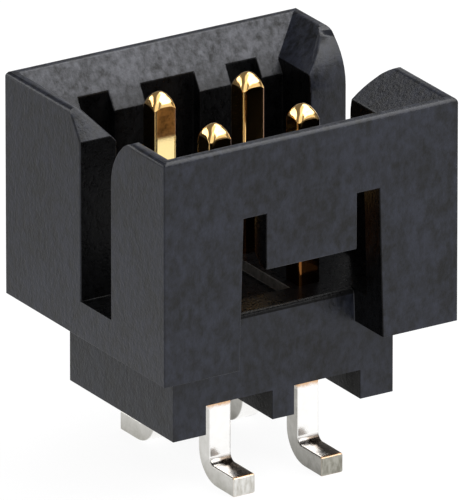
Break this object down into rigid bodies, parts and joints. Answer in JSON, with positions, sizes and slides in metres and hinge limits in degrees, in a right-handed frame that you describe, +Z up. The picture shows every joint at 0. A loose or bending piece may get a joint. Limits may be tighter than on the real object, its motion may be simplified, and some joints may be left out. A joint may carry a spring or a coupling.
{
  "type": "pin header",
  "caption": "Shrouded surface-mount pin header: black moulded box with a latch window and end slots around square gold pins whose tails bend outward into solder feet.",
  "frame": {"origin": "on the board plane under the middle of the header, at the underside of the solder feet", "axes": "+Z up from the board to the cavity mouth, +X along the wide faces, +Y from the front face with the latch window to the plain rear face"},
  "size_m": [0.0066, 0.0058, 0.0076],
  "materials": {
    "housing": "satin glass-filled moulding",
    "contact": "gold plated tip, bright tin tail"
  },
  "bodies": {
    "root": {"housing": "housing", "contact_front_left": "contact", "contact_front_right": "contact", "contact_rear_left": "contact", "contact_rear_right": "contact"}
  },
  "joints": []
}
